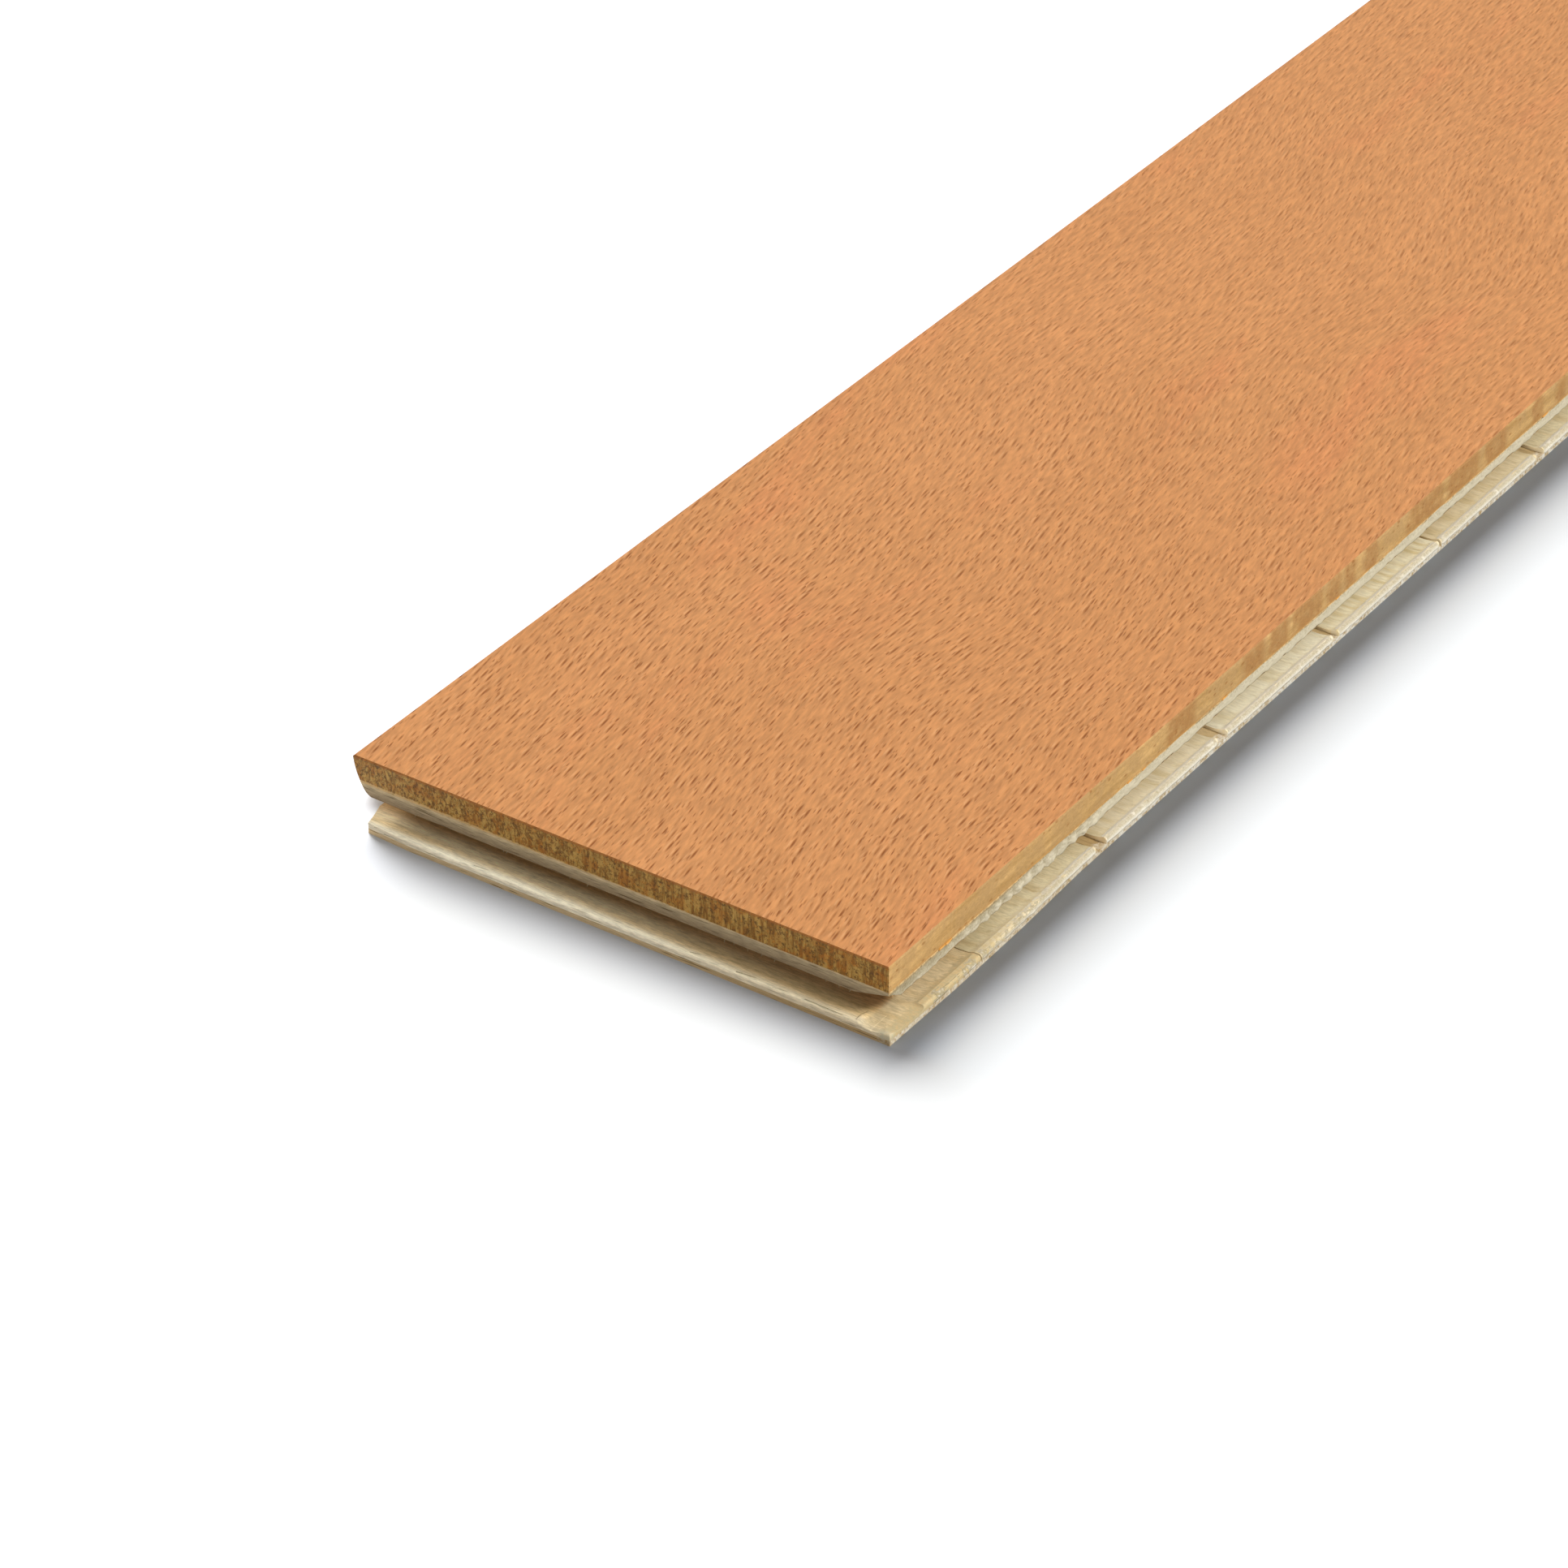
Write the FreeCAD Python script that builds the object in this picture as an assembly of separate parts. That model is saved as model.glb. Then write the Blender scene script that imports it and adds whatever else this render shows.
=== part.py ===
import FreeCAD, Part
import math
import os

# Wide plank floorboard: a thick beech wear layer glued on a continuous crosswise softwood ply, with
# crosswise softwood lamellas under that and a thin softwood veneer at the back. The near short end and
# the right long side have a groove over a protruding lip, the far end and the left side have the tongue
# that goes into such a groove. All sizes are in millimetres. The board lies on its back, face up.

# The face that covers the floor
face_length = 1092.0
face_width = 130.0
arris = 0.25

# The plies; the groove is milled up to the crosswise ply, which fills the rest up to the wear layer,
# and the lamellas fill the height between the groove's roof and the backing
thickness = 14.0
wear_thickness = 6.0
backing_thickness = 1.2

# Groove and lip, the same heights on the long side and the short end
roof_height = 5.2
channel_height = 1.9
lip_rise = 0.6
lip_nose_round = 0.7
channel_start = 1.0
groove_round = 1.1
long_lip_reach = 2.9
short_lip_reach = 5.1
long_groove_depth = 4.0
short_groove_depth = 7.0

# Bow of the long lip near the grooved end: how far out at most, where, and how far it runs each way;
# its strip is drawn on past that, inside the straight lip
lip_bow = 1.05
lip_bow_centre = 18.0
lip_bow_run = 47.0
lip_bow_overrun = 1.15

# Tongue and the rebate under it, which leaves room for the neighbour's lip
tongue_clearance = 0.1
tongue_tip_clearance = 0.5
tongue_round = 0.9
back_bevel = 2.6
back_bevel_belly = 1.1
back_bevel_belly_height = 9.3
heel_height = 6.4
heel_run = 2.5
lip_room = 1.5
rebate_lean = 0.3

# Left end of the short lip, seen from above: it runs back at a slant to the rebate, and before that the
# lip narrows a little
lip_end_slant_along = 7.0
lip_end_slant_across = 2.4
lip_end_taper = 0.6
lip_end_taper_run = 11.0

# Core lamellas, laid across the board with the open joints that such a core has
first_joint = 26.85
lamella_width = 44.0
joint_gaps = (0.3, 3.9, 3.7, 2.4, 0.8, 3.3)
narrowest_lamella = 10.0

# Corner of the upper lip that has broken off at the near right: its three legs
chip_along = 4.5
chip_across = 8.0
chip_up = 2.1
chip_overrun = 0.4

# How far a cutter or a slab runs past the board, so that it never ends level with it
overrun = 50.0

# Height of the lip's crest over the floor, from the channel that the same cutter leaves
lip_crest_height = channel_height + lip_rise


def arc(start, middle, end):
    """Edge of a circle through three points of a section."""
    return Part.Arc(start, middle, end).toShape()


def line(start, end):
    """Straight edge between two points of a section."""
    return Part.LineSegment(start, end).toShape()


def round_middle(start, end, centre):
    """Middle point of the short circular arc from start to end about centre."""
    outward = (start - centre) + (end - centre)
    return centre + outward.multiply((start - centre).Length / outward.Length)


def channel_middle(point, crest):
    """Middle of the arc that leaves point level and climbs to crest."""
    run = point.x - crest.x
    rise = crest.y - point.y
    radius = (run * run + rise * rise) / (2.0 * rise)
    half_turn = math.asin(run / radius) / 2.0
    return FreeCAD.Vector(point.x - radius * math.sin(half_turn),
                          point.y + radius * (1.0 - math.cos(half_turn)), 0.0)


def section(face, lip_reach, groove_depth):
    """Closed face of the board's section: grooved edge at 0, tongued edge at face, heights along Y."""
    def at(across, height):
        return FreeCAD.Vector(across, height, 0.0)

    # Grooved edge, from the face down to the lip's foot
    top_in = at(arris, thickness)
    top_out = at(0.0, thickness - arris)
    roof_mouth = at(0.0, roof_height)
    roof_end = at(groove_depth - groove_round, roof_height)
    wall_top = at(groove_depth, roof_height - groove_round)
    wall_foot = at(groove_depth, channel_height + groove_round)
    floor_end = at(groove_depth - groove_round, channel_height)
    channel = at(channel_start, channel_height)
    crest = at(lip_nose_round - lip_reach, lip_crest_height)
    nose = at(-lip_reach, lip_crest_height - lip_nose_round)
    lip_foot = at(-lip_reach, 0.0)

    # Tongued edge, from the rebate's foot up to the face
    crest_room = lip_crest_height + tongue_clearance
    rebate_foot = at(face - lip_reach - lip_room - rebate_lean, 0.0)
    rebate_head = at(face - lip_reach - lip_room, crest_room)
    hook = at(face - lip_reach + lip_nose_round, crest_room)
    belly = at(face + channel_start, channel_height + tongue_clearance)
    tip = face + groove_depth - tongue_tip_clearance
    tongue_top = roof_height - tongue_clearance
    tip_foot = at(tip - tongue_round, channel_height + tongue_clearance)
    tip_low = at(tip, channel_height + tongue_clearance + tongue_round)
    tip_high = at(tip, tongue_top - tongue_round)
    tip_head = at(tip - tongue_round, tongue_top)
    heel_foot = at(face - back_bevel - heel_run, tongue_top)
    heel_head = at(face - back_bevel, heel_height)
    bevel_middle = at(face - back_bevel_belly, back_bevel_belly_height)
    far_out = at(face, thickness - arris)
    far_in = at(face - arris, thickness)

    edges = [
        line(top_in, top_out),
        line(top_out, roof_mouth),
        line(roof_mouth, roof_end),
        arc(roof_end, round_middle(roof_end, wall_top, at(roof_end.x, wall_top.y)), wall_top),
        line(wall_top, wall_foot),
        arc(wall_foot, round_middle(wall_foot, floor_end, at(floor_end.x, wall_foot.y)), floor_end),
        line(floor_end, channel),
        arc(channel, channel_middle(channel, crest), crest),
        arc(crest, round_middle(crest, nose, at(crest.x, nose.y)), nose),
        line(nose, lip_foot),
        line(lip_foot, rebate_foot),
        line(rebate_foot, rebate_head),
        line(rebate_head, hook),
        arc(hook, channel_middle(belly, hook), belly),
        line(belly, tip_foot),
        arc(tip_foot, round_middle(tip_foot, tip_low, at(tip_foot.x, tip_low.y)), tip_low),
        line(tip_low, tip_high),
        arc(tip_high, round_middle(tip_high, tip_head, at(tip_head.x, tip_high.y)), tip_head),
        line(tip_head, heel_foot),
        arc(heel_foot, channel_middle(heel_foot, heel_head), heel_head),
        arc(heel_head, bevel_middle, far_out),
        line(far_out, far_in),
        line(far_in, top_in),
    ]
    return Part.Face(Part.Wire(edges))


def bowed_lip():
    """Strip that widens the long lip: its crest and nose turned about a far upright axis."""
    radius = (lip_bow_run * lip_bow_run + lip_bow * lip_bow) / (2.0 * lip_bow)
    crest_line = lip_nose_round - long_lip_reach
    edge = -long_lip_reach - lip_bow
    inner_foot = FreeCAD.Vector(lip_bow_centre, crest_line + lip_bow, -overrun)
    inner_top = FreeCAD.Vector(lip_bow_centre, crest_line + lip_bow, lip_crest_height)
    crest = FreeCAD.Vector(lip_bow_centre, crest_line - lip_bow, lip_crest_height)
    nose = FreeCAD.Vector(lip_bow_centre, edge, lip_crest_height - lip_nose_round)
    foot = FreeCAD.Vector(lip_bow_centre, edge, -overrun)
    profile = Part.Face(Part.Wire([
        line(inner_foot, inner_top),
        line(inner_top, crest),
        arc(crest, round_middle(crest, nose, FreeCAD.Vector(lip_bow_centre, crest.y, nose.z)), nose),
        line(nose, foot),
        line(foot, inner_foot),
    ]))
    axis = FreeCAD.Vector(lip_bow_centre, edge + radius, 0)
    up = FreeCAD.Vector(0, 0, 1)
    turn = math.degrees(math.asin(lip_bow_run / radius)) * lip_bow_overrun
    profile.rotate(axis, up, -turn)
    strip = profile.revolve(axis, up, 2.0 * turn)
    # Only what lies outside the straight lip's crest widens it
    corner = FreeCAD.Vector(-face_length, crest_line - overrun, -overrun)
    return strip.common(Part.makeBox(2 * face_length, overrun, 2 * overrun, corner))


def milled_board():
    """The whole board as one solid: what the long-side and the end cutters both leave."""
    # Section across the width: its own X becomes the board's Y, its own Y becomes Z
    side = section(face_width, long_lip_reach, long_groove_depth)
    side.transformShape(FreeCAD.Matrix(0, 0, 1, -overrun, 1, 0, 0, 0, 0, 1, 0, 0, 0, 0, 0, 1))
    sides = side.extrude(FreeCAD.Vector(face_length + 2 * overrun, 0, 0)).fuse(bowed_lip())
    # Section along the length: its own X stays X, its own Y becomes Z
    end = section(face_length, short_lip_reach, short_groove_depth)
    end.transformShape(FreeCAD.Matrix(1, 0, 0, 0, 0, 0, -1, face_width + overrun, 0, 1, 0, 0, 0, 0, 0, 1))
    ends = end.extrude(FreeCAD.Vector(0, -face_width - 2 * overrun, 0))
    return sides.common(ends)


def slab(low, high, start, stop):
    """Block over the board's whole width, between two heights and two places along it."""
    corner = FreeCAD.Vector(start, -overrun, low)
    return Part.makeBox(stop - start, face_width + 2 * overrun, high - low, corner)


def slanted_lip_end():
    """Prism that the left end of the short lip has lost, from the floor up into the groove."""
    far_side = face_width - long_lip_reach - lip_room
    tip_x = lip_end_taper - short_lip_reach
    tip_y = far_side - lip_end_slant_across
    slant = FreeCAD.Vector(lip_end_slant_along, lip_end_slant_across, 0)
    taper = FreeCAD.Vector(-lip_end_taper, -lip_end_taper_run, 0)
    tip = FreeCAD.Vector(tip_x, tip_y, -overrun)
    back = tip + slant * 2.0
    out = tip + taper * 2.0
    corner = FreeCAD.Vector(out.x, back.y, -overrun)
    height = overrun + (channel_height + roof_height) / 2.0
    plan = Part.Face(Part.makePolygon([tip, back, corner, out, tip]))
    return plan.extrude(FreeCAD.Vector(0, 0, height))


def broken_corner():
    """Pyramid that the upper lip has lost where its end and its side meet."""
    over = 1.0 + chip_overrun / chip_along + chip_overrun / chip_across + chip_overrun / chip_up
    corner = FreeCAD.Vector(-chip_overrun, -chip_overrun, roof_height - chip_overrun)
    along = corner + FreeCAD.Vector(chip_along * over, 0, 0)
    across = corner + FreeCAD.Vector(0, chip_across * over, 0)
    up = corner + FreeCAD.Vector(0, 0, chip_up * over)
    sides = [(corner, across, along), (corner, along, up), (corner, up, across), (along, across, up)]
    faces = [Part.Face(Part.makePolygon([a, b, c, a])) for a, b, c in sides]
    return Part.makeSolid(Part.makeShell(faces))


def lamella_spans(start, stop):
    """Start and end of each lamella between two places along the board."""
    spans = []
    joint = first_joint
    begin = start
    while stop - joint > narrowest_lamella + short_groove_depth:
        spans.append((begin, joint))
        gap = joint_gaps[(len(spans) - 1) % len(joint_gaps)]
        begin = joint + gap
        joint = begin + lamella_width
    spans.append((begin, stop))
    return spans


def export(shape, node):
    """Write one piece, moved so that the board's box stands centred on the origin."""
    long_tongue = long_groove_depth - tongue_tip_clearance
    short_tongue = short_groove_depth - tongue_tip_clearance
    middle_x = (face_length + short_tongue - short_lip_reach) / 2.0
    middle_y = (face_width + long_tongue - long_lip_reach - lip_bow) / 2.0
    piece = shape.copy()
    piece.translate(FreeCAD.Vector(-middle_x, -middle_y, 0))
    piece.exportStep("parts/" + node + ".step")


os.makedirs("parts", exist_ok=True)

board = milled_board().cut(slanted_lip_end())
board_start = -short_lip_reach
board_stop = face_length + short_groove_depth - tongue_tip_clearance
wear_foot = thickness - wear_thickness

# Beech wear layer, one full-length strip
wear_layer = board.common(slab(wear_foot, thickness, board_start, board_stop))
export(wear_layer.Solids[0], "wear_layer")

# Softwood ply with its grain across the board; the near right corner of its edge has broken off
crossband = board.common(slab(roof_height, wear_foot, board_start, board_stop)).cut(broken_corner())
export(crossband.Solids[0], "crossband")

# Softwood lamellas, grain across the board too, with open joints between them
for number, (start, stop) in enumerate(lamella_spans(board_start, board_stop), 1):
    lamella = board.common(slab(backing_thickness, roof_height, start, stop))
    export(lamella.Solids[0], "core_lamella_%02d" % number)

# Backing veneer, grain along the board, which also shows as the floor of the open joints
backing = board.common(slab(0.0, backing_thickness, board_start, board_stop))
export(backing.Solids[0], "backing_veneer")
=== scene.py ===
import math

import bmesh
import bpy
import numpy as np
from mathutils import Euler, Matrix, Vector


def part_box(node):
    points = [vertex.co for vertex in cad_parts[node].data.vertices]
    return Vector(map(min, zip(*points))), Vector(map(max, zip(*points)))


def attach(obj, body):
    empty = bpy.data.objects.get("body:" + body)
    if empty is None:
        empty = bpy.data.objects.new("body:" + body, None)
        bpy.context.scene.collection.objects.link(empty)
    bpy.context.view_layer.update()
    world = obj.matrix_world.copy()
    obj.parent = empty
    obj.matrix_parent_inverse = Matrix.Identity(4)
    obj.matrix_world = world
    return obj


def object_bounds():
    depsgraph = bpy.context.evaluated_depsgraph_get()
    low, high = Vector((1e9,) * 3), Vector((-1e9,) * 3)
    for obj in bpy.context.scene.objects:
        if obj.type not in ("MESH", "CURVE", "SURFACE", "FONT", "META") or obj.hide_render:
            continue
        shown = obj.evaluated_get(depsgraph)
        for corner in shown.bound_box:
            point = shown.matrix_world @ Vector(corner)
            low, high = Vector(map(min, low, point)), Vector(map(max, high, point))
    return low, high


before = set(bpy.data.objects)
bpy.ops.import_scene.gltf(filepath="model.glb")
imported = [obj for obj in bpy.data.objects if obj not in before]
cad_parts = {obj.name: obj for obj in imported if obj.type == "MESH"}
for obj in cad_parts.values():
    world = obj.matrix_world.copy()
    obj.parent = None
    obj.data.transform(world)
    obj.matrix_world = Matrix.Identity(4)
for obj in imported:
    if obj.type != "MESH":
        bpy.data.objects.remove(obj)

cad_low, cad_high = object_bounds()
mm = 0.001


# The wear layer is one strip of steamed beech, 6 mm thick, plain-sawn and sanded, with a thin matt lacquer
# on its face. Its rays show as short dark dashes on the face, as upright streaks on the sawn near end and
# as brown flames with light bars on the right side. Each of the three is a pattern of its own.
def colour(hex_code):
    """sRGB hex value turned to linear RGBA."""
    parts = [int(hex_code[i:i + 2], 16) / 255.0 for i in (1, 3, 5)]
    return tuple(c / 12.92 if c <= 0.04045 else ((c + 0.055) / 1.055) ** 2.4 for c in parts) + (1.0,)


def add(tree, kind, inputs, **settings):
    """Add one node: inputs are sockets or values by the input's name or number."""
    node = tree.nodes.new("ShaderNode" + kind)
    for name, value in settings.items():
        setattr(node, name, value)
    for key, value in inputs.items():
        if isinstance(value, bpy.types.NodeSocket):
            tree.links.new(value, node.inputs[key])
        else:
            node.inputs[key].default_value = value
    return node.outputs


def laid_over(tree, under, top, value, start, stop, most=1.0, smooth=False):
    """Socket of one colour laid over another: none of it where the value is at start, most of it at stop."""
    share = add(tree, "MapRange", {"Value": value, "From Min": start, "From Max": stop, "To Max": most},
                interpolation_type="SMOOTHSTEP" if smooth else "LINEAR")[0]
    return add(tree, "Mix", {0: share, 6: under, 7: top}, data_type="RGBA")[2]


def in_mm(tree):
    """Socket of the place on the piece in mm."""
    place = add(tree, "TexCoord", {})["Object"]
    return add(tree, "Mapping", {"Vector": place, "Scale": (1 / mm, 1 / mm, 1 / mm)})["Vector"]


def wood(name, roughness, specular):
    """An empty wood finish: its tree, its shader, the place in mm and the way that the surface faces."""
    material = bpy.data.materials.new(name)
    material.use_nodes = True
    tree = material.node_tree
    shader = tree.nodes["Principled BSDF"]
    shader.inputs["Roughness"].default_value = roughness
    shader.inputs["Specular IOR Level"].default_value = specular
    facing = add(tree, "SeparateXYZ", {0: add(tree, "NewGeometry", {})["True Normal"]})
    return material, tree, shader, in_mm(tree), facing


def finished(name, material):
    """Give a CAD piece its finish."""
    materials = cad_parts[name].data.materials
    materials.clear()
    materials.append(material)


face_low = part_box("wear_layer")[0]
near_x, right_y = face_low.x / mm, face_low.y / mm
beech, tree, shader, place, facing = wood("beech_sanded_matt_lacquer", 0.55, 0.25)
spot = add(tree, "SeparateXYZ", {0: place})

# The grain runs 8 degrees off the board's length and wanders a little
wander = add(tree, "TexNoise", {"Vector": place, "Scale": 0.011, "Detail": 1.0})["Color"]
wander = add(tree, "VectorMath", {0: wander, 1: (0.5, 0.5, 0.5)}, operation="SUBTRACT")["Vector"]
wander = add(tree, "VectorMath", {0: wander, 1: (0.0, 14.0, 2.0)}, operation="MULTIPLY")["Vector"]
grain = add(tree, "VectorMath", {0: place, 1: wander})["Vector"]
grain = add(tree, "Mapping", {"Vector": grain, "Rotation": (0, 0, math.radians(-8.0))})["Vector"]

# Rays: one dark spindle, 2 to 5 mm long and half a millimetre wide, in each cell of about 5 x 1.6 mm, with a faint
# light rim beside it that is a painted highlight for the lit side of its dent. Both are fainter further along the
# board
highlight_offset = 0.62
fainter = add(tree, "MapRange", {"Value": spot["X"], "From Min": near_x + 90.0, "From Max": near_x + 260.0,
                                 "To Min": 1.0, "To Max": 0.62})[0]
marks = {"dark": 0.0, "light": 0.0}
for number, (cell_long, cell_wide, half_long, half_wide, strength) in enumerate((
        (5.6, 1.85, 2.7, 0.36, 1.0), (3.8, 1.35, 1.6, 0.28, 0.8))):
    cells = add(tree, "Mapping", {"Vector": grain, "Location": (5.3 * number, 9.1 * number, 0.4 * number),
                                  "Scale": (1 / cell_long, 1 / cell_wide, 1 / 26.0)})["Vector"]
    ray = add(tree, "TexVoronoi", {"Vector": cells, "Scale": 1.0, "Randomness": 0.95})
    chance = add(tree, "SeparateColor", {0: ray["Color"]})
    off = add(tree, "VectorMath", {0: cells, 1: ray["Position"]}, operation="SUBTRACT")["Vector"]
    longer = add(tree, "MapRange", {"Value": chance[0], "To Min": 0.55, "To Max": 1.15})[0]
    depth = add(tree, "MapRange", {"Value": chance[1], "From Min": 0.1, "From Max": 0.8,
                                   "To Min": 0.0, "To Max": strength})[0]
    for mark, beside in (("dark", 0.0), ("light", highlight_offset)):
        spindle = add(tree, "Mapping", {"Vector": off, "Location": (0, -beside / half_wide, 0),
                                        "Scale": (cell_long / half_long, cell_wide / half_wide, 0.0)})["Vector"]
        spindle = add(tree, "VectorMath", {0: spindle}, operation="LENGTH")["Value"]
        spindle = add(tree, "Math", {0: spindle, 1: longer}, operation="DIVIDE")[0]
        spindle = add(tree, "MapRange", {"Value": spindle, "From Min": 0.1, "From Max": 1.1,
                                         "To Min": 1.0, "To Max": 0.0}, interpolation_type="SMOOTHSTEP")[0]
        spindle = add(tree, "Math", {0: spindle, 1: depth}, operation="MULTIPLY")[0]
        marks[mark] = add(tree, "Math", {0: spindle, 1: marks[mark]}, operation="MAXIMUM")[0]
dark_rays = add(tree, "Math", {0: marks["dark"], 1: fainter}, operation="MULTIPLY")[0]
painted_highlight_rims = add(tree, "Math", {0: marks["light"], 1: fainter}, operation="MULTIPLY")[0]

# Fibres: soft ripples about 0.9 mm wide and 5 mm long, weaker than the rays
fibre = add(tree, "Mapping", {"Vector": grain, "Scale": (1 / 4.6, 1 / 0.95, 1 / 8.0)})["Vector"]
fibre = add(tree, "TexNoise", {"Vector": fibre, "Scale": 1.0, "Detail": 2.0, "Roughness": 0.6})["Fac"]

# Face: pinkish tan, with broad soft patches that are pinker or more orange
patch = add(tree, "Mapping", {"Vector": grain, "Scale": (1 / 70.0, 1 / 22.0, 1 / 30.0)})["Vector"]
patch = add(tree, "TexNoise", {"Vector": patch, "Scale": 1.0, "Detail": 3.0, "Roughness": 0.55})
face = laid_over(tree, colour("#C88952"), colour("#D6955E"), patch["Fac"], 0.0, 1.0)
blush = add(tree, "SeparateColor", {0: patch["Color"]})[2]
face = laid_over(tree, face, colour("#D78855"), blush, 0.52, 0.72, 0.42, smooth=True)
ripple = add(tree, "MapRange", {"Value": fibre, "From Min": 0.3, "From Max": 0.7,
                                "To Min": 0.84, "To Max": 1.17})[0]
face = add(tree, "VectorMath", {0: face, "Scale": ripple}, operation="SCALE")["Vector"]
# Painted highlight: the light rim beside each ray
face = laid_over(tree, face, colour("#E8AC76"), painted_highlight_rims, 0.0, 1.0, 0.6)
face = laid_over(tree, face, colour("#8E501D"), dark_rays, 0.0, 1.0)

# Sawn near end: blotchy rust and olive on the left, upright ray streaks on the right, dark open pores, a
# burnt line along the top edge and a pale line of glue at the foot, which is thicker on the left
streak = add(tree, "Mapping", {"Vector": place, "Scale": (0.05, 1 / 0.85, 1 / 6.0)})["Vector"]
streak = add(tree, "TexNoise", {"Vector": streak, "Scale": 1.0, "Detail": 3.0, "Roughness": 0.6,
                                "Distortion": 0.5})["Fac"]
blotch = add(tree, "Mapping", {"Vector": place, "Rotation": (0.5, 0, 0), "Scale": (0.05, 1 / 0.95, 1 / 1.7)})["Vector"]
blotch = add(tree, "TexNoise", {"Vector": blotch, "Scale": 1.0, "Detail": 3.0, "Roughness": 0.65,
                                "Distortion": 1.1})["Fac"]
leftward = add(tree, "MapRange", {"Value": spot["Y"], "From Min": -25.0, "From Max": 35.0,
                                  "To Min": 0.15, "To Max": 0.9})[0]
streak = add(tree, "Mix", {0: leftward, 2: streak, 3: blotch}, data_type="FLOAT")[0]
streak = add(tree, "MapRange", {"Value": streak, "From Min": 0.4, "From Max": 0.6},
             interpolation_type="SMOOTHSTEP")[0]
rust = add(tree, "TexNoise", {"Vector": place, "Scale": 0.3, "Detail": 3.0, "Distortion": 0.8})["Fac"]
fleck = add(tree, "TexNoise", {"Vector": place, "Scale": 1.7, "Detail": 2.0, "Roughness": 0.6})["Fac"]
pore = add(tree, "TexNoise", {"Vector": place, "Scale": 1.3, "Detail": 3.0, "Roughness": 0.8})["Fac"]
burnt = add(tree, "Math", {0: pore, 1: 1.2, 2: spot["Z"]}, operation="MULTIPLY_ADD")[0]
thicker = add(tree, "MapRange", {"Value": spot["Y"], "From Min": -35.0, "From Max": 45.0,
                                 "To Min": -0.15, "To Max": 0.4})[0]
glue_line = add(tree, "Math", {0: burnt, 1: thicker}, operation="SUBTRACT")[0]
end = laid_over(tree, colour("#7B5317"), colour("#B68E46"), streak, 0.0, 1.0)
for value, start, stop, most, hex_code in (
        (rust, 0.48, 0.66, 0.6, "#A05E12"), (fleck, 0.56, 0.68, 0.7, "#B87320"), (pore, 0.5, 0.38, 0.9, "#5A3A0C"),
        (burnt, 14.1, 14.4, 0.75, "#8C5220"), (glue_line, 8.8, 8.6, 0.85, "#C9A56C")):
    end = laid_over(tree, end, colour(hex_code), value, start, stop, most)

# Right side: straw with soft bands and small rusty dots; further along brown flames stand between light bars.
# Each flame is given by its start and stop in mm from the near end, and past the last one they come at random
flames = ((103, 114), (133, 142), (144, 152), (154, 166), (168.5, 174), (176, 180.5), (184, 190), (203, 219),
          (221.5, 235), (238, 248), (260, 265), (271.5, 276))
flame_reach, flame_edge, flame_wobble = 280.0, 0.8, 4.0
band = add(tree, "Mapping", {"Vector": place, "Scale": (1 / 24.0, 1 / 20.0, 1 / 1.9)})["Vector"]
band = add(tree, "TexNoise", {"Vector": band, "Scale": 1.0, "Detail": 4.0, "Roughness": 0.6})["Fac"]
side = laid_over(tree, colour("#A9824A"), colour("#CBA267"), band, 0.35, 0.65)
stain = add(tree, "TexNoise", {"Vector": place, "Scale": 0.16, "Detail": 2.0})["Fac"]
side = laid_over(tree, side, colour("#AE8956"), stain, 0.42, 0.62, 0.75, smooth=True)
ragged = add(tree, "Mapping", {"Vector": place, "Scale": (1 / 3.0, 1 / 20.0, 1 / 2.4)})["Vector"]
ragged = add(tree, "TexNoise", {"Vector": ragged, "Scale": 1.0, "Detail": 3.0, "Roughness": 0.65})["Fac"]
along_side = add(tree, "Math", {0: ragged, 1: flame_wobble, 2: spot["X"]}, operation="MULTIPLY_ADD")[0]
flames_start = near_x + flame_wobble / 2
along_side = add(tree, "MapRange", {"Value": along_side, "From Min": flames_start,
                                    "From Max": flames_start + flame_reach})[0]
placed = add(tree, "FloatCurve", {"Value": along_side})[0]
curve = placed.node.mapping.curves[0]
curve.points[0].location = (0.0, 0.0)
curve.points[1].location = (1.0, 0.0)
for start, stop in flames:
    for at, level in ((start - flame_edge, 0.0), (start + flame_edge, 1.0),
                      (stop - flame_edge, 1.0), (stop + flame_edge, 0.0)):
        curve.points.new(at / flame_reach, level)
for point in curve.points:
    point.handle_type = "VECTOR"
placed.node.mapping.update()
chanced = add(tree, "Mapping", {"Vector": place, "Scale": (1 / 7.0, 1 / 20.0, 1 / 12.0)})["Vector"]
chanced = add(tree, "TexNoise", {"Vector": chanced, "Scale": 1.0, "Detail": 2.0, "Distortion": 0.4})["Fac"]
chanced = add(tree, "MapRange", {"Value": chanced, "From Min": 0.5, "From Max": 0.56},
              interpolation_type="SMOOTHSTEP")[0]
past = add(tree, "Math", {0: spot["X"], 1: near_x + flame_reach}, operation="GREATER_THAN")[0]
flame = add(tree, "Mix", {0: past, 2: placed, 3: chanced}, data_type="FLOAT")[0]
faded = add(tree, "MapRange", {"Value": ragged, "From Min": 0.28, "From Max": 0.55,
                               "To Min": 0.25, "To Max": 0.95})[0]
flame = add(tree, "Math", {0: flame, 1: faded}, operation="MULTIPLY")[0]
side = laid_over(tree, side, colour("#A37540"), flame, 0.0, 1.0)
mottle = add(tree, "Mapping", {"Vector": place, "Rotation": (0, 0.6, 0),
                               "Scale": (1 / 0.9, 1 / 20.0, 1 / 0.45)})["Vector"]
mottle = add(tree, "TexNoise", {"Vector": mottle, "Scale": 1.0, "Detail": 3.0, "Roughness": 0.7})["Fac"]
mottle = add(tree, "MapRange", {"Value": mottle, "From Min": 0.3, "From Max": 0.7,
                                "To Min": 0.86, "To Max": 1.14})[0]
side = add(tree, "VectorMath", {0: side, "Scale": mottle}, operation="SCALE")["Vector"]
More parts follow.
